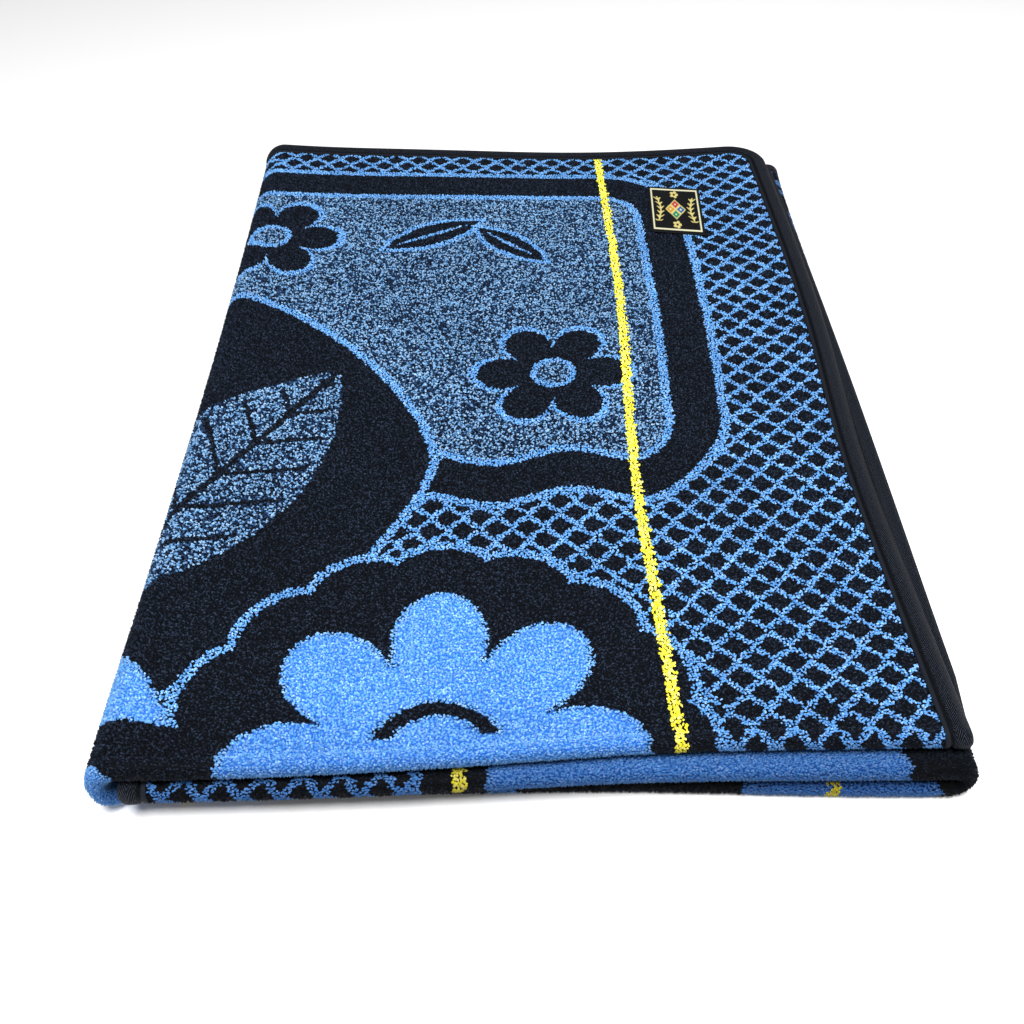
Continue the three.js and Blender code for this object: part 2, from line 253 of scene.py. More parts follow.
# The figures, each given by what its function takes: places and sizes in millimetres on a quarter of the
# cloth, and bare numbers for powers, notches, slants and tilts
PANEL = {"low": (104, 57), "high": 552, "radius": 85}
PANEL_BAND = 47
PANEL_WAVE = {"depth": 7, "length": 118, "from_back": 400, "eased_over": 80}
FLOWERS_AT = ((247, 402), (520, 186))
FLOWER = {"radius": 70, "count": 6, "notch": 0.5}
FLOWER_HEART = 17
SPRIG_LEAVES = (((360, 178), 58, 20, 0.5), ((283, 196), 50, 17, -0.75))
SPRIG_RIB = {"share": 0.7, "half_width": 2.2}
OVAL = {"centre": (545, 508), "half_q": 202, "half_r": 225, "power": 1.45}
BROAD_LEAF = {"centre": (512, 520), "half_length": 150, "half_width": 68, "tilt": 1.0}
VEIN = {"apart": 42, "slant": 0.8, "half_width": 2.6, "inset": 9}
MIDRIB = {"half_width": 3.2, "past_leaf": 6}
BLOOM = {"centre": (333.0, 775), "radius": 134.0, "count": 8, "notch": 0.55}
SCALLOPS = {"radius": 178, "count": 16, "notch": 0.93}
HEART_ARC = {"radius": 38, "half_width": 4.5, "up_to": 758}
CRESCENT = {"centre": (642, 775), "half_q": 150, "half_r": 140, "power": 1.7}
CRESCENT_BAND = {"centre": (642, 775), "half_q": 160, "half_r": 40, "power": 4.0}
BUD = {"centre": (594.0, 775), "half_length": 66.0, "half_width": 26, "tilt": 0.0}
PETAL_FULLNESS = 0.55


def petals(q, r, centre, radius, count, notch):
    """A rosette: distance from its centre less a radius that swells and narrows count times round it."""
    x, y = q - centre[0], r - centre[1]
    turn = np.arctan2(y, x)
    swell = np.abs(np.cos(count * turn / 2)) ** PETAL_FULLNESS
    return np.hypot(x, y) - radius * (notch + (1 - notch) * swell)


def lens(q, r, centre, half_length, half_width, tilt):
    """A leaf pointed at both ends: distance off its midrib less a half width that falls as a parabola."""
    x, y = q - centre[0], r - centre[1]
    ahead = x * math.cos(tilt) + y * math.sin(tilt)
    aside = y * math.cos(tilt) - x * math.sin(tilt)
    return np.abs(aside) - half_width * (1 - (ahead / half_length) ** 2)


def medallion(q, r, centre, half_q, half_r, power):
    """A pointed oval: the sum of the two shares raised to a power, less one, in millimetres."""
    x = np.abs(q - centre[0]) / half_q
    y = np.abs(r - centre[1]) / half_r
    return ((x**power + y**power) ** (1 / power) - 1) * min(half_q, half_r)


def panel(q, r, low, high, radius):
    """A rectangle with round corners, mirrored about the pattern's axis: the usual distance to one."""
    x = np.abs(q - PATTERN_AXIS_ALONG) - (PATTERN_AXIS_ALONG - low[0]) + radius
    y = np.abs(r - (low[1] + high) / 2) - (high - low[1]) / 2 + radius
    outside = np.hypot(np.maximum(x, 0), np.maximum(y, 0))
    return outside + np.minimum(np.maximum(x, y), 0) - radius


def inside(yarn, shape, fill, half=LINE_HALF):
    """Lays a shape over the pattern: fill where its distance is below 0, a blue line along its edge."""
    yarn = np.where(shape < 0, fill, yarn)
    return np.where(np.abs(shape) < half, BLUE, yarn)


# Tables of chances that repeat after so many rows and dashes
ROWS, DASHES = 1024, 512
chance = np.random.default_rng(7967)
ROW_CHANCE = chance.random(ROWS)
DASH_CHANCE = chance.random((ROWS, DASHES))


def yarn_at(along, across):
    """The yarn of the pile at a place on the flat cloth: black, blue of the lines, yellow, a dark or a light
    loop of the marl, or solid blue. The pattern mirrors about its two axes. Each pick shifts a little
    sideways, which gives the woven edges their teeth."""
    pick = np.floor(across / PICK).astype(int)
    tooth = (ROW_CHANCE[pick % ROWS] - 0.5) * 2 * RAGGED
    q = PATTERN_AXIS_ALONG - np.abs(along + tooth - PATTERN_AXIS_ALONG)
    r = PATTERN_AXIS_ACROSS - np.abs(across - PATTERN_AXIS_ACROSS)

    # Marled ground: short dashes of light and dark along each pick
    dash = np.floor(along / DASH + 3 * ROW_CHANCE[(pick + 5) % ROWS]).astype(int)
    marl = np.where(DASH_CHANCE[pick % ROWS, dash % DASHES] < MARL_LIGHT_SHARE, MARL_LIGHT, MARL_DARK)

    # Lattice of blue lines round black lozenges, which are longer along the picks than across them
    a = q / LATTICE_PITCH[0] + r / LATTICE_PITCH[1]
    b = q / LATTICE_PITCH[0] - r / LATTICE_PITCH[1]
    a = a - np.floor(a) - 0.5
    b = b - np.floor(b) - 0.5
    lozenge = np.abs(a + b) / LOZENGE[0] + np.abs(a - b) / LOZENGE[1]
    yarn = np.where(lozenge < 1, BLACK, BLUE)

    # Marled panel in a black band, waved along its front side
    wave = PANEL_WAVE["depth"] * np.cos(q * math.tau / PANEL_WAVE["length"])
    wave = wave * eased((r - PANEL_WAVE["from_back"]) / PANEL_WAVE["eased_over"])
    band = panel(q, r + wave, **PANEL)
    yarn = inside(yarn, band, BLACK)
    yarn = inside(yarn, band + PANEL_BAND, marl)

    # Black flowers and a sprig on the marl
    for centre in FLOWERS_AT:
        yarn = inside(yarn, petals(q, r, centre, **FLOWER), BLACK)
        heart = np.hypot(q - centre[0], r - centre[1]) - FLOWER_HEART
        yarn = inside(yarn, heart, marl, half=FINE_LINE_HALF)
    for centre, length, width, tilt in SPRIG_LEAVES:
        yarn = inside(yarn, lens(q, r, centre, length, width, tilt), BLACK, half=FINE_LINE_HALF)
        rib = lens(q, r, centre, length * SPRIG_RIB["share"], SPRIG_RIB["half_width"], tilt)
        yarn = np.where(rib < 0, BLUE, yarn)

    # Large black oval with a marled leaf, its midrib and its side veins
    yarn = inside(yarn, medallion(q, r, **OVAL), BLACK)
    x, y = q - BROAD_LEAF["centre"][0], r - BROAD_LEAF["centre"][1]
    cosine, sine = math.cos(BROAD_LEAF["tilt"]), math.sin(BROAD_LEAF["tilt"])
    ahead = x * cosine + y * sine
    aside = np.abs(y * cosine - x * sine)
    leaf = lens(q, r, **BROAD_LEAF)
    yarn = np.where(leaf < 0, marl, yarn)
    veins = (ahead + VEIN["slant"] * aside) / VEIN["apart"]
    from_vein = np.abs(veins - np.round(veins)) * VEIN["apart"]
    vein = (leaf < -VEIN["inset"]) & (from_vein < VEIN["half_width"])
    midrib = (leaf < MIDRIB["past_leaf"]) & (aside < MIDRIB["half_width"])
    yarn = np.where(vein | midrib, BLACK, yarn)

    # Bright flower on a scalloped black round over the front crease, an arc round its heart
    yarn = inside(yarn, petals(q, r, BLOOM["centre"], **SCALLOPS), BLACK)
    yarn = np.where(petals(q, r, **BLOOM) < 0, SOLID_BLUE, yarn)
    from_arc = np.abs(np.hypot(q - BLOOM["centre"][0], r - BLOOM["centre"][1]) - HEART_ARC["radius"])
    yarn = np.where((from_arc < HEART_ARC["half_width"]) & (r < HEART_ARC["up_to"]), BLACK, yarn)

    # Broad bright crescent near the left fold, with a black band and a bright bud over the crease
    yarn = np.where(medallion(q, r, **CRESCENT) < 0, SOLID_BLUE, yarn)
    yarn = np.where(medallion(q, r, **CRESCENT_BAND) < 0, BLACK, yarn)
    yarn = np.where(lens(q, r, **BUD) < 0, SOLID_BLUE, yarn)

    # Yellow stripes over all of it, a little off straight
    from_bend = (across - STRIPE_WANDER["at"]) / STRIPE_WANDER["reach"]
    wander = STRIPE_WANDER["out"] * np.exp(-(from_bend**2))
    teeth = STRIPE_TEETH[0] * tooth
    for stripe in STRIPES:
        off = along - stripe - wander
        in_stripe = (off > teeth - STRIPE_HALF) & (off < STRIPE_HALF + STRIPE_TEETH[1] * teeth)
        yarn = np.where(in_stripe, YELLOW, yarn)
    return yarn


# Yarn colours in the order of their names above: the painted shade deep between the loops, the loop's own
# colour, and its painted glint, a painted highlight
YARN_COLOURS = np.array(
    [
        [linear(shade)[:3] for shade in shades]
        for shades in (
            ("#010308", "#050a14", "#2c384c"),
            ("#2a6ac8", "#60a0d8", "#9cc8f2"),
            ("#d6c11a", "#fbf437", "#fffcaa"),
            ("#03070f", "#12223c", "#3d5e8c"),
            ("#2c5c9e", "#6c9cc4", "#a8cae6"),
            ("#2a66c0", "#5e9cd2", "#9ec8f0"),
        )
    ]
)

# Finish: the strokes that fibres make in a loop are about 0.7 mm long. The tape's real ribs lie about a
# millimetre apart and the label's threads half a millimetre. Both are drawn wider so that they show.
FIBRES_A_METRE = 1500.0
TWILL_PITCH = 1.7
TWILL_LANE = 4.6
TWILL_SLANT = 1.2
LABEL_THREAD = 1.0


def node(tree, kind, settings=None, **links):
    """Adds one shader node, sets its properties or inputs, and links inputs to other nodes' sockets. A link
    is given by its input's name, or as i0, i1 and so on by its place."""
    made = tree.nodes.new(kind)
    for name, value in (settings or {}).items():
        if isinstance(name, int) or name in made.inputs:
            made.inputs[name].default_value = value
        else:
            setattr(made, name, value)
    for name, socket in links.items():
        key = int(name[1:]) if name[0] == "i" and name[1:].isdigit() else name.replace("_", " ")
        tree.links.new(socket, made.inputs[key])
    return made


def material(name, settings):
    """A material with one Principled shader whose same-everywhere values are on its own sockets."""
    made = bpy.data.materials.new(name)
    made.use_nodes = True
    tree = made.node_tree
    tree.nodes.clear()
    surface = node(tree, "ShaderNodeBsdfPrincipled", settings)
    node(tree, "ShaderNodeOutputMaterial", Surface=surface.outputs["BSDF"])
    return made, tree, surface


def brushed_loop_yarn():
    """Brushed wool-blend loop yarn. It is matt with hardly any gloss, blooms a little at grazing angles,
    and its fibres break each loop into lighter and darker strokes."""
    made, tree, surface = material(
        "brushed_loop_yarn",
        {
            "Roughness": 0.7,
            "IOR": 1.5,
            "Specular IOR Level": 0.08,
            "Sheen Weight": 0.04,
            "Sheen Roughness": 0.4,
            "Sheen Tint": linear("#c9dcff"),
        },
    )
    colour = node(tree, "ShaderNodeVertexColor", {"layer_name": "yarn"})
    place = node(tree, "ShaderNodeTexCoord")
    fibre = node(
        tree,
        "ShaderNodeTexNoise",
        {"Scale": FIBRES_A_METRE, "Detail": 2.0, "Roughness": 0.6},
        Vector=place.outputs["Object"],
    )
    tone = node(
        tree,
        "ShaderNodeMapRange",
        {"From Min": 0.32, "From Max": 0.68, "To Min": 0.5, "To Max": 1.5},
        Value=fibre.outputs["Fac"],
    )
    shade = node(
        tree,
        "ShaderNodeVectorMath",
        {"operation": "SCALE"},
        i0=colour.outputs["Color"],
        Scale=tone.outputs["Result"],
    )
    tree.links.new(shade.outputs["Vector"], surface.inputs["Base Color"])
    return made


def twill_tape():
    """Black cotton herringbone tape. Its slanting ribs have small grey glints painted on their crests on the
    rolled part, a painted highlight, and the flat strip beside the pile is smoother and a little lighter."""
    made, tree, surface = material(
        "black_herringbone_tape",
        {
            "Roughness": 0.6,
            "IOR": 1.5,
            "Specular IOR Level": 0.06,
            "Sheen Weight": 0.015,
            "Sheen Roughness": 0.35,
            "Sheen Tint": linear("#c8ccd8"),
        },
    )
    on_tape = node(tree, "ShaderNodeUVMap", {"uv_map": "tape_mm"})
    split = node(tree, "ShaderNodeSeparateXYZ", Vector=on_tape.outputs["UV"])
    ribbed = node(tree, "ShaderNodeVertexColor", {"layer_name": "yarn"})
    zigzag = node(tree, "ShaderNodeMath", {"operation": "PINGPONG", 1: TWILL_LANE}, i0=split.outputs["Y"])
    slant = node(
        tree,
        "ShaderNodeMath",
        {"operation": "MULTIPLY_ADD", 1: TWILL_SLANT},
        i0=zigzag.outputs["Value"],
        i2=split.outputs["X"],
    )
    in_turns = node(
        tree,
        "ShaderNodeMath",
        {"operation": "MULTIPLY", 1: math.tau / TWILL_PITCH},
        i0=slant.outputs["Value"],
    )
    rib = node(tree, "ShaderNodeMath", {"operation": "SINE"}, i0=in_turns.outputs["Value"])
    height = node(
        tree,
        "ShaderNodeMath",
        {"operation": "MULTIPLY"},
        i0=rib.outputs["Value"],
        i1=ribbed.outputs["Alpha"],
    )
    # Painted highlight: the ribs' crests, broken up by noise, are painted lighter grey on the roll
    crest = node(tree, "ShaderNodeMath", {"operation": "MAXIMUM", 1: 0.0}, i0=height.outputs["Value"])
    uneven = node(tree, "ShaderNodeTexNoise", {"Scale": 0.9, "Detail": 2.0}, Vector=on_tape.outputs["UV"])
    glint = node(
        tree,
        "ShaderNodeMath",
        {"operation": "MULTIPLY"},
        i0=crest.outputs["Value"],
        i1=uneven.outputs["Fac"],
    )
    tones = node(tree, "ShaderNodeValToRGB", Fac=glint.outputs["Value"])
    ramp = tones.color_ramp.elements
    ramp[0].position, ramp[0].color = 0.25, linear("#07090d")
    ramp[1].position, ramp[1].color = 0.65, linear("#454c5b")
    lit = node(
        tree,
        "ShaderNodeVectorMath",
        {"operation": "ADD"},
        i0=tones.outputs["Color"],
        i1=ribbed.outputs["Color"],
    )
    tree.links.new(lit.outputs["Vector"], surface.inputs["Base Color"])
    bump = node(
        tree,
        "ShaderNodeBump",
        {"Strength": 0.7, "Distance": 0.4 * MILLIMETRE},
        Height=height.outputs["Value"],
    )
    tree.links.new(bump.outputs["Normal"], surface.inputs["Normal"])
    return made


def woven_label():
    """Fine satin-woven polyester label: smooth black ground with raised, slightly shiny pale gold and
    coloured threads in close rows."""
    made, tree, surface = material(
        "satin_woven_label",
        {"Roughness": 0.5, "IOR": 1.5, "Specular IOR Level": 0.12},
    )
    colour = node(tree, "ShaderNodeVertexColor", {"layer_name": "yarn"})
    on_label = node(tree, "ShaderNodeUVMap", {"uv_map": "label_mm"})
    split = node(tree, "ShaderNodeSeparateXYZ", Vector=on_label.outputs["UV"])
    in_turns = {"operation": "MULTIPLY", 1: math.tau / LABEL_THREAD}
    across = node(tree, "ShaderNodeMath", in_turns, i0=split.outputs["Y"])
    along = node(tree, "ShaderNodeMath", in_turns, i0=split.outputs["X"])
    picks = node(tree, "ShaderNodeMath", {"operation": "SINE"}, i0=across.outputs["Value"])
    ends = node(tree, "ShaderNodeMath", {"operation": "SINE"}, i0=along.outputs["Value"])
    weave = node(
        tree,
        "ShaderNodeMath",
        {"operation": "MULTIPLY"},
        i0=picks.outputs["Value"],
        i1=ends.outputs["Value"],
    )
    tone = node(
        tree,
        "ShaderNodeMath",
        {"operation": "MULTIPLY_ADD", 1: 0.14, 2: 0.95},
        i0=weave.outputs["Value"],
    )
    shade = node(
        tree,
        "ShaderNodeVectorMath",
        {"operation": "SCALE"},
        i0=colour.outputs["Color"],
        Scale=tone.outputs["Value"],
    )
    tree.links.new(shade.outputs["Vector"], surface.inputs["Base Color"])
    bump = node(
        tree,
        "ShaderNodeBump",
        {"Strength": 0.35, "Distance": 0.2 * MILLIMETRE},
        Height=weave.outputs["Value"],
    )
    tree.links.new(bump.outputs["Normal"], surface.inputs["Normal"])
    return made


def add_mesh(name, points, faces, finish, colours, maps=None):
    """A smooth mesh object from arrays: points in millimetres, faces as rows of point numbers, a colour for
    each point, and UV maps for each corner."""
    points = np.asarray(points, np.float32).reshape(-1, 3) * MILLIMETRE
    faces = np.asarray(faces, np.int32)
    corners = faces.shape[1]
    mesh = bpy.data.meshes.new(name)
    mesh.vertices.add(len(points))
    mesh.vertices.foreach_set("co", points.ravel())
    mesh.loops.add(faces.size)
    mesh.loops.foreach_set("vertex_index", faces.ravel())
    mesh.polygons.add(len(faces))
    mesh.polygons.foreach_set("loop_start", np.arange(0, faces.size, corners, dtype=np.int32))
    mesh.update(calc_edges=True)
    mesh.polygons.foreach_set("use_smooth", np.ones(len(faces), bool))
    if colours.shape[1] == 3:
        colours = np.hstack([colours, np.ones((len(points), 1))])
    layer = mesh.color_attributes.new("yarn", "FLOAT_COLOR", "POINT")
    layer.data.foreach_set("color", colours.astype(np.float32).ravel())
    for map_name, values in (maps or {}).items():
        layer = mesh.uv_layers.new(name=map_name)
        layer.data.foreach_set("uv", np.asarray(values, np.float32).ravel())
    mesh.materials.append(finish)
    made = bpy.data.objects.new(name, mesh)
    bpy.context.scene.collection.objects.link(made)
    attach(made, "root")
    return made


# The pile: loops of yarn, each one a small curved grain laid on the ground cloth. The real loops are
# finer: each one here stands for one or two of them. LOOP_VARIES gives the least share and the range
# above it. The loops' widths are in the order of the yarns' names.
LOOP_PITCH = 1.7
LOOP_LENGTH = 3.1
LOOP_WIDTHS = (1.15, 1.55, 2.0, 1.25, 1.4, 1.55)
LOOP_HEIGHT = 1.25
LOOP_BEND = 0.35
LOOP_LEAN = 0.3
LOOP_VARIES = {"length": (0.75, 0.5), "width": (0.8, 0.4), "height": (0.6, 0.7), "tone": (0.7, 0.6)}
LOOP_TURN = {"stripe": 0.3, "others": 0.55}
TURNED_SHARE = 0.18
STRIPE_LOOP_LENGTH = 1.25
LOOP_FOOT = {"ends": -0.3, "sides": 0.1}
# Painted light on the loops: GLINT_POWER makes the painted glints on the crowns rare, and SIDE_TONE and
# END_TONE are the shares of the crown's colour kept on the sides and ends, the rest painted shade towards
# the deep colour
GLINT_POWER = 2.2
SIDE_TONE = 0.55
END_TONE = 0.35
GROUND_LIFT = 1.9
GROUND_RISE = {"before_edge": 1.5, "run": 4.0}
PILE_FROM_EDGE = 16.4
# Painted shade on the pile, as shares: darker under the front crease and just before it, and on the lower
# and the bottom layers
UNDER_SHADE = {"least": 0.42, "reach": 1.1}
CREASE_SHADE = {"drop": 0.18, "reach": 45}
LOWER_SHADE = 0.43
BOTTOM_SHADE = 0.34
BLOTCH = {"wide": 43.0, "bend": 71.0, "fine": 29.0, "bends": (1.3, 1.7), "fine_share": 0.5, "depth": 0.07}


def ground_lift(along, across):
    """Height of the ground cloth's outer face off the ply's middle: low under the binding, then up."""
    rise = eased((from_edge(along, across) - TAPE_WIDTH + GROUND_RISE["before_edge"]) / GROUND_RISE["run"])
    return HEM_PLY / 2 + (GROUND_LIFT - HEM_PLY / 2) * rise


def loops_in(along_range, across_range, spread, seed):
    """Loops over a patch of the flat cloth: a jittered grid, closer where the outer face is stretched by
    spread. Each loop has two ends, two sides and a crown, so four faces."""
    rng = np.random.default_rng(seed)
    pitch_a, pitch_b = LOOP_PITCH / spread[0], LOOP_PITCH / spread[1]
    a = np.arange(along_range[0], along_range[1], pitch_a)
    b = np.arange(across_range[0], across_range[1], pitch_b)
    along, across = (g.ravel() for g in np.meshgrid(a, b, indexing="ij"))
    along = along + pitch_a * (rng.random(along.size) - 0.5)
    across = across + pitch_b * (rng.random(along.size) - 0.5)
    kept = from_edge(along, across) > PILE_FROM_EDGE
    along, across = along[kept], across[kept]
    count = along.size
    yarn = yarn_at(along, across)

    def varied(what):
        least, above = LOOP_VARIES[what]
        return least + above * rng.random(count)

    stripe = yarn == YELLOW
    turned = stripe | (rng.random(count) < TURNED_SHARE)
    turn = rng.normal(0, 1, count) * np.where(stripe, LOOP_TURN["stripe"], LOOP_TURN["others"])
    turn = turn + np.where(turned, math.pi / 2, 0)
    length = LOOP_LENGTH * varied("length") * np.where(stripe, STRIPE_LOOP_LENGTH, 1.0)
    width = np.take(LOOP_WIDTHS, yarn) * varied("width")
    height = LOOP_HEIGHT * varied("height")
    bend = LOOP_BEND * rng.normal(0, 1, count)
    lean = LOOP_LEAN * rng.normal(0, 1, count)
    base = ground_lift(along, across)
    foot, flank = base + LOOP_FOOT["ends"], base + LOOP_FOOT["sides"]
    ahead = np.stack([0.5 * length, 0 * length, -0.5 * length, 0 * length, lean], -1)
    aside = np.stack([0 * bend, bend + 0.5 * width, 0 * bend, bend - 0.5 * width, bend], -1)
    lift = np.stack([foot, flank, foot, flank, base + height], -1)
    cosine, sine = np.cos(turn)[:, None], np.sin(turn)[:, None]
    point_along = along[:, None] + (ahead * cosine - aside * sine) / spread[0]
    point_across = across[:, None] + (ahead * sine + aside * cosine) / spread[1]
    points = cloth_point(point_along, point_across, lift)

    # Painted light on each loop: a painted glint on the crown, and its sides and ends painted darker towards
    # the deep colour, painted shade at the loop's foot. The tone also carries random variation, wear and
    # painted shade.
    glint = rng.random(count) ** GLINT_POWER
    tone = varied("tone") * pile_wear_and_shade(along, across)
    deep, own, bright = (YARN_COLOURS[yarn, k] for k in range(3))
    crown = (own + (bright - own) * glint[:, None]) * tone[:, None]
    side = deep + (crown - deep) * SIDE_TONE
    end = deep + (crown - deep) * END_TONE
    colours = np.stack([end, side, end, side, crown], 1)
    return points, colours


def pile_wear_and_shade(along, across):
    """Wear and painted shade of the pile as a share: soft blotches of wear from three waves, and painted
    shade darker round the front crease, under it and on the layers below."""
    wide, bend = BLOTCH["wide"], BLOTCH["bend"]
    blotch = (
        np.sin(along / wide + BLOTCH["bends"][0] * np.sin(across / bend))
        * np.sin(across / wide + BLOTCH["bends"][1] * np.sin(along / bend))
        + BLOTCH["fine_share"] * np.sin((along + across) / BLOTCH["fine"])
    )
    past = (across - PLY_RUN) / CREASE_LENGTH
    under = 1 + (UNDER_SHADE["least"] - 1) * eased(past * UNDER_SHADE["reach"])
    before = (across - PLY_RUN + CREASE_SHADE["reach"]) / CREASE_SHADE["reach"]
    near = 1 - CREASE_SHADE["drop"] * eased(before)
    layer = np.where(along < BOTTOM_AT, 1.0, np.where(along < INNER_AT, BOTTOM_SHADE, LOWER_SHADE))
    return (1 + BLOTCH["depth"] * blotch) * under * near * layer


# A loop's faces, and its corners' places in its square cell of the bake's map
LOOP_FACES = np.array([(0, 1, 4), (1, 2, 4), (2, 3, 4), (3, 0, 4)])
CELL_CORNERS = np.array([(0.94, 0.94), (0.06, 0.94), (0.06, 0.06), (0.94, 0.06), (0.5, 0.5)])


def add_pile(name, patches, finish):
    """One piece of pile from several patches, with a square cell of the bake's map for each loop."""
    points, colours = (np.concatenate(part) for part in zip(*(loops_in(*patch) for patch in patches)))
    count, corners = points.shape[:2]
    number = np.arange(count)
    faces = (LOOP_FACES[None] + corners * number[:, None, None]).reshape(-1, 3)
    cells = math.ceil(math.sqrt(count))
    corner = np.stack([number % cells, number // cells], -1)[:, None] + CELL_CORNERS
    on_map = (corner / cells).reshape(-1, 2)[faces.ravel()]
    piece = add_mesh(name, points, faces, finish, colours.reshape(-1, 3), {"OFBake": on_map})
    return piece


# Where the patches of pile end, and how far the outer face is stretched at each fold. A patch is its
# ranges along and across, its stretches along and across, and its seed.
PILE_START = 16
CREASE_LOW = PLY_RUN - 3.0
CREASE_HIGH = PLY_RUN + CREASE_LENGTH + 12.0
TUCKED_LOW = CREASE_LOW - 8
TUCKED_PILE = 30
TUCKED_GROUND = 40
FLAT = 1.0
LEFT_SPREAD = 1.42
RIGHT_SPREAD = 1.85
CREASE_SPREAD = 1.8
TOP_THIRD = LEFT_FOLD_AT / 3
on_ply = (PILE_START, CREASE_LOW)
on_crease = (CREASE_LOW, CREASE_HIGH)
loop_yarn = brushed_loop_yarn()
pile = [
    add_pile("pile_top_right", [((PILE_START, TOP_THIRD), on_ply, (FLAT, FLAT), 1)], loop_yarn),
    add_pile("pile_top_middle", [((TOP_THIRD, 2 * TOP_THIRD), on_ply, (FLAT, FLAT), 2)], loop_yarn),
    add_pile("pile_top_left", [((2 * TOP_THIRD, LEFT_FOLD_AT), on_ply, (FLAT, FLAT), 3)], loop_yarn),
    add_pile(
        "pile_folds",
        [
            ((LEFT_FOLD_AT, BOTTOM_AT), on_ply, (LEFT_SPREAD, FLAT), 4),
            ((RIGHT_FOLD_AT, INNER_AT), on_ply, (RIGHT_SPREAD, FLAT), 5),
            ((INNER_AT, INNER_AT + TUCKED_PILE), on_ply, (FLAT, FLAT), 6),
        ],
        loop_yarn,
    ),
    add_pile(
        "pile_front_creases",
        [
            ((PILE_START, LEFT_FOLD_AT), on_crease, (FLAT, CREASE_SPREAD), 7),
            ((LEFT_FOLD_AT, BOTTOM_AT), on_crease, (LEFT_SPREAD, CREASE_SPREAD), 8),
            ((BOTTOM_AT, RIGHT_FOLD_AT), on_crease, (FLAT, CREASE_SPREAD), 9),
            ((RIGHT_FOLD_AT, INNER_AT), on_crease, (RIGHT_SPREAD, CREASE_SPREAD), 10),
            ((INNER_AT, CLOTH_LENGTH - PILE_START), (TUCKED_LOW, CREASE_HIGH), (FLAT, CREASE_SPREAD), 11),
        ],
        loop_yarn,
    ),
]


def lines(*stretches):
    """Places of a grid's lines: each stretch is a start, an end and its equal steps, one after another."""
    starts = [np.linspace(low, high, steps + 1)[:-1] for low, high, steps in stretches]
    return np.concatenate([*starts, [stretches[-1][1]]])


def grid_faces(rows, columns, start=0):
    """Four-cornered faces of a grid of points, turned towards the side its rows times columns give."""
    i, j = np.meshgrid(np.arange(rows - 1), np.arange(columns - 1), indexing="ij")
    a = start + i * columns + j
    return np.stack([a, a + columns, a + columns + 1, a + 1], -1).reshape(-1, 4)


def rim_faces(rows, columns):
    """The wall between the two faces of a sheet, round its rim."""
    i, j = np.arange(rows), np.arange(columns)
    rim = np.concatenate(
        [
            i[:-1] * columns,
            (rows - 1) * columns + j[:-1],
            i[:0:-1] * columns + columns - 1,
            j[:0:-1],
        ]
    )
    ahead = np.roll(rim, -1)
    lower = rows * columns
    return np.stack([rim, rim + lower, ahead + lower, ahead], -1)


def closed_sheet(upper, lower):
    """Points and faces of a sheet from two grids, the upper facing out, joined round the rim."""
    rows, columns = upper.shape[:2]
    points = np.concatenate([upper.reshape(-1, 3), lower.reshape(-1, 3)])
    under = grid_faces(rows, columns, rows * columns)[:, ::-1]
    return points, np.concatenate([grid_faces(rows, columns), under, rim_faces(rows, columns)])


# The ground, seen only between the loops, takes the solid blue's deep colour, painted shade, where the pile
# is
# # solid blue all round it, as far as GROUND_SPREAD along and across, and black's deep colour elsewhere. Its
# grid has extra lines just inside the ends of the bright figures.
GROUND_SPREAD = (3.0, 2.0)
LOOKS_ROUND = 12
INSIDE_ENDS = np.array([1.0, 6.0])
BLOOM_LINES = {"before": 6, "after": 4}
HEM_LINES = TAPE_WIDTH + np.array([-1.5, 0.5, 2.5])
UNDER_RUN = np.array([0.0, 0.006, 0.02, 0.06, 0.15, 0.3, 0.45, 0.6, 0.75, 0.9, 1.0])
HEM_RISE_RUN = 6


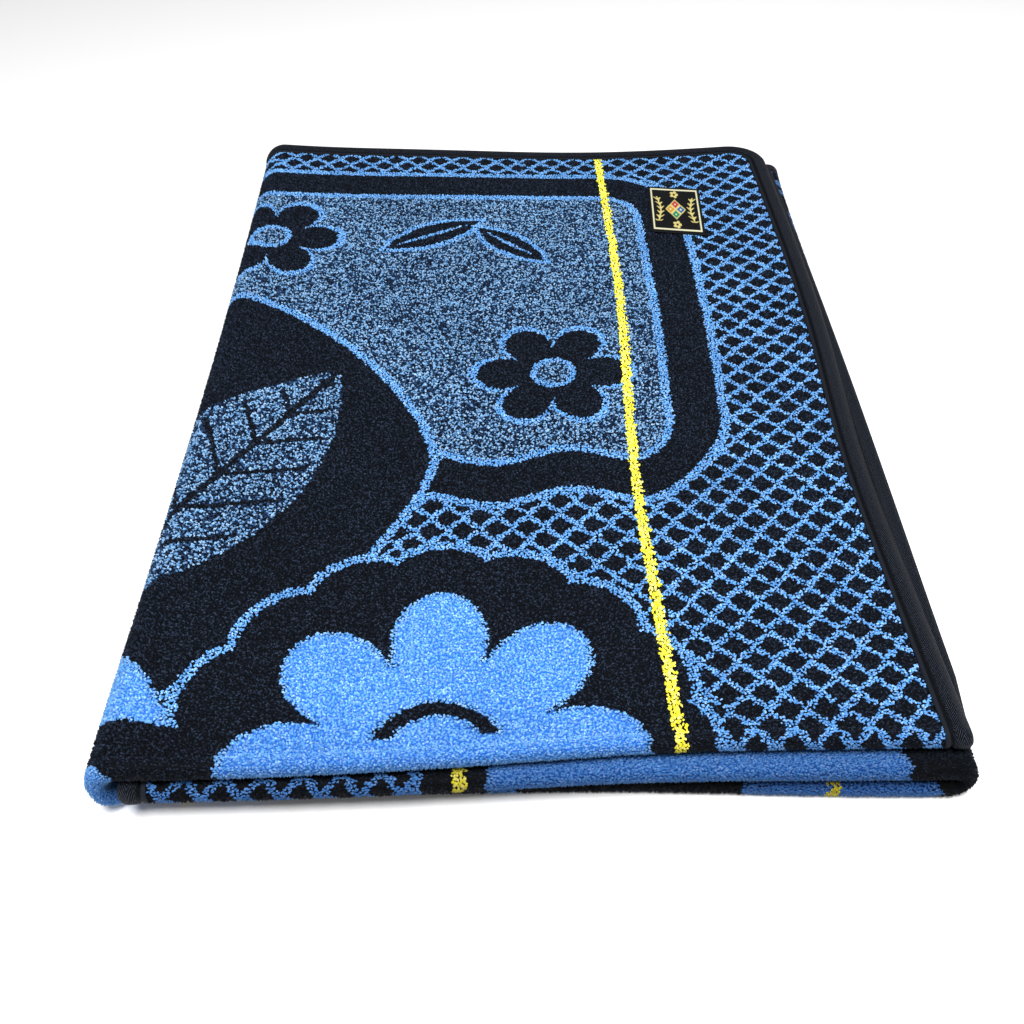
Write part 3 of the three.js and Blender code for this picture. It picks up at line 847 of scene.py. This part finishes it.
def ground_sheet():
    """The ground cloth as one closed sheet: the outer face low under the pile, the inner face flat, lines
    close together where the pattern shows and at the folds."""
    corner = CORNER_RADIUS * (1 - np.cos(np.linspace(0, math.pi / 2, 8)[:-1]))
    figure_ends = [
        2 * PATTERN_AXIS_ALONG - centre + side * (reach - INSIDE_ENDS)
        for centre, reach in ((BUD["centre"][0], BUD["half_length"]), (BLOOM["centre"][0], BLOOM["radius"]))
        for side in (-1, 1)
    ]
    near = BLOOM["centre"][0] - BLOOM["radius"] - BLOOM_LINES["before"]
    far = BLOOM["centre"][0] + BLOOM["radius"] + BLOOM_LINES["after"]
    even = lines(
        (CORNER_RADIUS, near, 10),
        (near, far, 70),
        (far, LEFT_FOLD_AT, 12),
        (LEFT_FOLD_AT, BOTTOM_AT, 19),
        (BOTTOM_AT, RIGHT_FOLD_AT, 24),
        (RIGHT_FOLD_AT, INNER_AT, 13),
        (INNER_AT, CLOTH_LENGTH - CORNER_RADIUS, 24),
    )
    along = np.sort(np.concatenate([corner, even, CLOTH_LENGTH - corner, *figure_ends]))
    reach = CORNER_RADIUS - np.minimum(np.minimum(along, CLOTH_LENGTH - along), CORNER_RADIUS)
    trim = CORNER_RADIUS - np.sqrt(CORNER_RADIUS**2 - reach**2)
    hem = np.concatenate([[0.0, 0.5], HEM_LINES])
    run = lines((0, 0.8, 55), (0.8, 0.95, 45), (0.95, 1, 13))
    crease_lines = np.linspace(PLY_RUN, PLY_RUN + CREASE_LENGTH, 14)[1:-1]
    start = trim[:, None] + hem[-1]
    first = start + (PLY_RUN - start) * run
    second = CLOTH_WIDTH - (start + (PLY_RUN - start) * (1 - UNDER_RUN))
    across = np.hstack(
        [
            trim[:, None] + hem[:-1],
            first,
            np.repeat(crease_lines[None], len(along), 0),
            second,
            CLOTH_WIDTH - trim[:, None] - hem[-2::-1],
        ]
    )
    along = np.repeat(along[:, None], across.shape[1], 1)
    shown = (across < CREASE_HIGH) & (
        (along < BOTTOM_AT)
        | ((along > RIGHT_FOLD_AT) & (along < INNER_AT + TUCKED_GROUND))
        | (across > TUCKED_LOW)
    )
    rise = eased((from_edge(along, across) - TAPE_WIDTH) / HEM_RISE_RUN)
    full = HEM_PLY / 2 + (PLY / 2 - HEM_PLY / 2) * rise
    outer_lift = np.where(shown, ground_lift(along, across), full)
    points, faces = closed_sheet(cloth_point(along, across, outer_lift), cloth_point(along, across, -full))

    all_blue = np.ones(along.shape, bool)
    for angle in np.arange(LOOKS_ROUND) * math.tau / LOOKS_ROUND:
        beside = along + GROUND_SPREAD[0] * math.cos(angle), across + GROUND_SPREAD[1] * math.sin(angle)
        all_blue &= yarn_at(*beside) == SOLID_BLUE
    shade = YARN_COLOURS[np.where(all_blue, SOLID_BLUE, BLACK), 0] * pile_wear_and_shade(along, across)[..., None]
    # The inner face takes the pile's own colours, painted darker by LOWER_SHADE as painted shade
    reverse = YARN_COLOURS[yarn_at(along, across), 1] * LOWER_SHADE
    return points, faces, np.concatenate([shade.reshape(-1, 3), reverse.reshape(-1, 3)])


sheet_points, sheet_faces, sheet_colours = ground_sheet()
ground = add_mesh("blanket_ground_cloth", sheet_points, sheet_faces, loop_yarn, sheet_colours)
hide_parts("blanket_cloth")


# The binding: one tape folded over the edge, a flat strip beside the pile and a roll over the edge. Its
# section in millimetres in from the cloth's edge and off its middle, and how far the ribs show.
TAPE_SECTION = np.array(
    [
        (16.9, 1.9, 0.0),
        (16.9, 3.0, 0.0),
        (16.2, 3.4, 0.0),
        (14.8, 3.4, 0.0),
        (13.9, 3.1, 0.0),
        (13.3, 2.2, 0.2),
        (11.4, 2.1, 0.6),
        (10.5, 3.2, 1.0),
        (8.6, 4.2, 1.0),
        (6.2, 4.5, 1.0),
        (3.8, 4.3, 1.0),
        (1.8, 3.6, 1.0),
        (0.2, 2.6, 1.0),
        (-1.1, 1.4, 1.0),
        (-1.5, 0.0, 1.0),
        (-1.1, -1.4, 1.0),
        (0.0, -2.5, 1.0),
        (2.0, -3.0, 1.0),
        (9.0, -3.0, 1.0),
        (16.5, -3.0, 0.2),
        (16.5, -1.9, 0.0),
        (8.0, -1.7, 0.0),
        (8.0, 1.7, 0.0),
    ]
)
# The roll stands proud of this height by a share: in full on the top ply, and not at all on the floor
TAPE_PROUD_FROM = 3.0
TAPE_PROUD_BETWEEN = 0.4
FLOOR_STARTS = LEFT_FOLD_AT + 20
STRIP_LIFT = 2.9
BAKE_STRIPS = 14
BAKE_MARGIN = 0.04
CREASE_MARGIN = 12
FOLD_MARGIN = 10


def edge_path():
    """The cloth's outline as places and inward directions, starting down the open edge: four sides, with
    lines close together at the front crease and at the folds, and four quarter circles between them."""
    near = CORNER_RADIUS
    crease_starts, crease_ends = PLY_RUN - CREASE_MARGIN, PLY_RUN + CREASE_LENGTH + CREASE_MARGIN
    across = lines(
        (near, crease_starts, 83),
        (crease_starts, crease_ends, 29),
        (crease_ends, CLOTH_WIDTH - near, 59),
    )
    folds = lines(
        (near, LEFT_FOLD_AT - FOLD_MARGIN, 55),
        (LEFT_FOLD_AT - FOLD_MARGIN, BOTTOM_AT + FOLD_MARGIN, 33),
        (BOTTOM_AT + FOLD_MARGIN, RIGHT_FOLD_AT - FOLD_MARGIN, 39),
        (RIGHT_FOLD_AT - FOLD_MARGIN, INNER_AT + FOLD_MARGIN, 25),
        (INNER_AT + FOLD_MARGIN, CLOTH_LENGTH - near, 39),
    )
    side = np.ones_like
    bend = np.linspace(0, math.pi / 2, 12)[1:-1]
    sides = [
        (0 * across, across, side(across), 0 * across),
        (folds, CLOTH_WIDTH * side(folds), 0 * folds, -side(folds)),
        (CLOTH_LENGTH * side(across), across[::-1], -side(across), 0 * across),
        (folds[::-1], 0 * folds, 0 * folds, side(folds)),
    ]
    corners = [
        (near, CLOTH_WIDTH - near, math.pi - bend),
        (CLOTH_LENGTH - near, CLOTH_WIDTH - near, math.pi / 2 - bend),
        (CLOTH_LENGTH - near, near, -bend),
        (near, near, -math.pi / 2 - bend),
    ]
    parts = []
    for straight, (centre_along, centre_across, angle) in zip(sides, corners):
        out_along, out_across = np.cos(angle), np.sin(angle)
        turn = (centre_along + near * out_along, centre_across + near * out_across, -out_along, -out_across)
        parts += [np.stack(straight, -1), np.stack(turn, -1)]
    return np.concatenate(parts)


def tape_mesh():
    """The section carried round the edge path, each place set inwards by the section's reach, and closed
    both ways. The alpha of its colour is 1 on the twill roll and 0 on the flat strip. The bake's map lays
    the ring out as strips, one above another."""
    path = edge_path()
    reach, lift, ribbed = TAPE_SECTION.T
    along = path[:, 0:1] + path[:, 2:3] * reach
    across = path[:, 1:2] + path[:, 3:4] * reach
    top_ply = (across < PLY_RUN) & (along < BOTTOM_AT)
    on_floor = (across < PLY_RUN + CREASE_LENGTH) & (along > FLOOR_STARTS) & (along < INNER_AT)
    proud = np.where(on_floor, 0.0, np.where(top_ply, 1.0, TAPE_PROUD_BETWEEN))
    lift = np.where(lift > TAPE_PROUD_FROM, TAPE_PROUD_FROM + (lift - TAPE_PROUD_FROM) * proud, lift)
    points = cloth_point(along, across, lift)
    rows, columns = along.shape
    i, j = np.meshgrid(np.arange(rows), np.arange(columns), indexing="ij")
    here, ahead, aside = i * columns, (i + 1) % rows * columns, (j + 1) % columns
    faces = np.stack([here + j, ahead + j, ahead + aside, here + aside], -1)

    step = np.hypot(*(np.roll(path[:, :2], -1, 0) - path[:, :2]).T)
    run = np.concatenate([[0.0], np.cumsum(step)])
    round_section = np.hypot(*np.diff(TAPE_SECTION[:, :2], axis=0, append=TAPE_SECTION[:1, :2]).T)
    girth = np.concatenate([[0.0], np.cumsum(round_section)])
    corner_run = np.stack([run[i], run[i + 1], run[i + 1], run[i]], -1)
    corner_girth = np.stack([girth[j], girth[j], girth[j + 1], girth[j + 1]], -1)
    in_mm = np.stack([corner_run, corner_girth], -1).reshape(-1, 2)

    strip_rows = math.ceil(rows / BAKE_STRIPS)
    strip = (i // strip_rows)[..., None]
    in_strip = np.stack([i, i + 1, i + 1, i], -1) - strip * strip_rows
    up_strip = strip + BAKE_MARGIN + (1 - 2 * BAKE_MARGIN) * corner_girth / girth[-1]
    bake = np.stack([in_strip / strip_rows, up_strip / BAKE_STRIPS], -1).reshape(-1, 2)

    strip_tone = np.array(linear("#15181e")[:3])
    colour = np.zeros((rows, columns, 4))
    colour[..., :3] = (1 - ribbed)[:, None] * strip_tone * (lift[..., None] > STRIP_LIFT)
    colour[..., 3] = ribbed
    return points, faces.reshape(-1, 4), colour.reshape(-1, 4), {"OFBake": bake, "tape_mm": in_mm}


tape_points, tape_faces, tape_colours, tape_maps = tape_mesh()
binding = add_mesh("binding_tape_roll", tape_points, tape_faces, twill_tape(), tape_colours, tape_maps)
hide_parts("edge_binding")


# The label: a small woven rectangle with a plain generic ornament
LABEL_SIZE = (54.0, 92.0)
LABEL_FROM_RIGHT = 110.0
LABEL_FROM_BACK = 135.5
LABEL_TILT_ENDS = 0.2
LABEL_TILT_SIDES = 0.07
LABEL_LIFT = 3.6
LABEL_THICKNESS = 1.0
LABEL_EDGE = {"share": 0.55, "run": 3}
LABEL_SINK = 0.6
LABEL_CELL = 0.75
LABEL_REVERSE_SHADE = 0.4
LABEL_MAP_WIDTH = 2.02
LABEL_FRAME = {"from": 2.6, "to": 4.3, "ends": 0.62}
LABEL_LOZENGE = {"half_x": 10.5, "half_y": 20, "quarter": 0.38, "eye": 0.1}
TWIG = {"from_middle": 17.2, "sway": 1.8, "sway_over": 11, "half_width": 0.75, "half_length": 25}
TWIG_LEAF = {"slant": 1.4, "apart": 9.0, "half_width": 2.4, "taper": 0.5, "reach": 3.8}
ROSETTE = {"from_middle": 30.5, "stretch": 1.7, "radius": 2.6, "swell": 1.9, "half_count": 2.5, "eye": 1.3}
LABEL_BLACK = linear("#090a0c")[:3]
LABEL_GOLD = linear("#cfc27a")[:3]
LABEL_PALE = linear("#d9d6b4")[:3]
LABEL_QUARTERS = [linear(c)[:3] for c in ("#b3363c", "#2b5f96", "#17805f", "#c28d28")]


def label_colours(x, y):
    """Thread colours of the label in millimetres from its middle, y towards the front: a pale gold frame,
    and inside it a lozenge of four coloured lozenges, two leafy twigs and two small rosettes."""
    colour = np.tile(np.array(LABEL_BLACK), x.shape + (1,))

    def thread(where, tint):
        colour[where] = tint

    half_x, half_y = LABEL_SIZE[0] / 2, LABEL_SIZE[1] / 2
    inwards = np.minimum(half_x - np.abs(x), (half_y - np.abs(y)) * LABEL_FRAME["ends"])
    thread((inwards > LABEL_FRAME["from"]) & (inwards < LABEL_FRAME["to"]), LABEL_PALE)

    small_x, small_y = x / LABEL_LOZENGE["half_x"], y / LABEL_LOZENGE["half_y"]
    thread(np.abs(small_x) + np.abs(small_y) < 1, LABEL_GOLD)
    for tint, (side, end) in zip(LABEL_QUARTERS, ((0, -0.5), (0.5, 0), (0, 0.5), (-0.5, 0))):
        from_middle = np.abs(small_x - side) + np.abs(small_y - end)
        thread(from_middle < LABEL_LOZENGE["quarter"], tint)
        thread(from_middle < LABEL_LOZENGE["eye"], LABEL_PALE)

    twig_x = np.abs(np.abs(x) - TWIG["from_middle"] + TWIG["sway"] * np.cos(y / TWIG["sway_over"]))
    on_twig = np.abs(y) < TWIG["half_length"]
    thread((twig_x < TWIG["half_width"]) & on_twig, LABEL_GOLD)
    leaf_y = (y + TWIG_LEAF["slant"] * twig_x) / TWIG_LEAF["apart"]
    from_leaf = np.abs(leaf_y - np.round(leaf_y)) * TWIG_LEAF["apart"]
    in_leaf = from_leaf < TWIG_LEAF["half_width"] - TWIG_LEAF["taper"] * twig_x
    thread(in_leaf & (twig_x < TWIG_LEAF["reach"]) & on_twig, LABEL_GOLD)

    for end in (-ROSETTE["from_middle"], ROSETTE["from_middle"]):
        spot_y = (y - end) / ROSETTE["stretch"]
        far = np.hypot(x, spot_y)
        turn = np.arctan2(spot_y, x)
        petal = ROSETTE["radius"] + ROSETTE["swell"] * np.abs(np.cos(ROSETTE["half_count"] * turn))
        thread((far < petal) & (far > ROSETTE["eye"]), LABEL_GOLD)
    return colour


def label_mesh():
    """The label as a closed thin sheet on the pile, its sides and ends leaning a little, like parallels. Its
    two faces lie side by side on the bake's map."""
    width, length = LABEL_SIZE
    a = np.linspace(-width / 2, width / 2, round(width / LABEL_CELL) + 1)[:, None]
    b = np.linspace(-length / 2, length / 2, round(length / LABEL_CELL) + 1)[None]
    a, b = np.broadcast_arrays(a, b)
    along = LABEL_FROM_RIGHT + a * math.cos(LABEL_TILT_ENDS) + b * math.sin(LABEL_TILT_SIDES)
    across = LABEL_FROM_BACK + b * math.cos(LABEL_TILT_SIDES) - a * math.sin(LABEL_TILT_ENDS)
    sewn = np.minimum(width / 2 - np.abs(a), length / 2 - np.abs(b))
    thick = LABEL_EDGE["share"] + (1 - LABEL_EDGE["share"]) * eased(sewn / LABEL_EDGE["run"])
    top = cloth_point(along, across, LABEL_LIFT + LABEL_THICKNESS * thick)
    points, faces = closed_sheet(top, cloth_point(along, across, LABEL_LIFT - LABEL_SINK))
    colours = label_colours(-a, b).reshape(-1, 3)
    place = np.stack([a, b], -1).reshape(-1, 2)
    place = np.concatenate([place, place])[faces.ravel()]
    face = np.repeat([0.0, 1.0], along.size)[faces.ravel()]
    bake = np.stack([(place[:, 0] / width + 0.5 + face) / LABEL_MAP_WIDTH, place[:, 1] / length + 0.5], -1)
    tints = np.concatenate([colours, colours * LABEL_REVERSE_SHADE])
    return points, faces, tints, {"OFBake": bake, "label_mm": place}


label_points, label_faces, label_tints, label_maps = label_mesh()
label = add_mesh("label_weave_face", label_points, label_faces, woven_label(), label_tints, label_maps)
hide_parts("woven_label")


# Floor, light and camera
FLOOR_HALF = 30.0


def add_floor():
    """A pale seamless floor of matt paper, far wider than the blanket."""
    paper = material("matt_paper_floor", {"Roughness": 0.95, "Base Color": linear("#fafafa")})[0]
    corners = [(x * FLOOR_HALF, y * FLOOR_HALF, 0) for x, y in ((-1, -1), (1, -1), (1, 1), (-1, 1))]
    mesh = bpy.data.meshes.new("floor")
    mesh.from_pydata(corners, [], [(0, 1, 2, 3)])
    mesh.materials.append(paper)
    floor = bpy.data.objects.new("floor", mesh)
    bpy.context.scene.collection.objects.link(floor)
    return floor


def add_light(name, place, target, size, power):
    """A square white soft box that faces its target."""
    lamp = bpy.data.lights.new(name, "AREA")
    lamp.size = size
    lamp.energy = power
    made = bpy.data.objects.new(name, lamp)
    made.location = place
    made.rotation_euler = (Vector(target) - Vector(place)).to_track_quat("-Z", "Y").to_euler()
    bpy.context.scene.collection.objects.link(made)


floor = add_floor()
add_light("overhead_softbox", (-0.1, -0.82, 2.0), (0, -0.1, 0), size=0.7, power=61)
add_light("side_softbox", (1.3, 0.2, 1.2), (0, 0, 0), size=0.8, power=7)

world = bpy.data.worlds.new("studio")
world.use_nodes = True
background = world.node_tree.nodes["Background"]
background.inputs["Color"].default_value = linear("#ffffff")
background.inputs["Strength"].default_value = 0.32
bpy.context.scene.world = world
bpy.context.scene.view_settings.view_transform = "Standard"

lens_data = bpy.data.cameras.new("camera")
lens_data.lens = CAMERA_LENS
lens_data.sensor_width = SENSOR_WIDTH
lens_data.clip_start = 0.05
camera = bpy.data.objects.new("camera", lens_data)
camera.matrix_world = (
    Matrix.Translation(CAMERA_PLACE)
    @ Matrix.Rotation(math.radians(-CAMERA_TURN), 4, "Z")
    @ Matrix.Rotation(math.radians(90 - CAMERA_DOWN), 4, "X")
    @ Matrix.Rotation(math.radians(CAMERA_ROLL), 4, "Z")
)
bpy.context.scene.collection.objects.link(camera)
bpy.context.scene.camera = camera
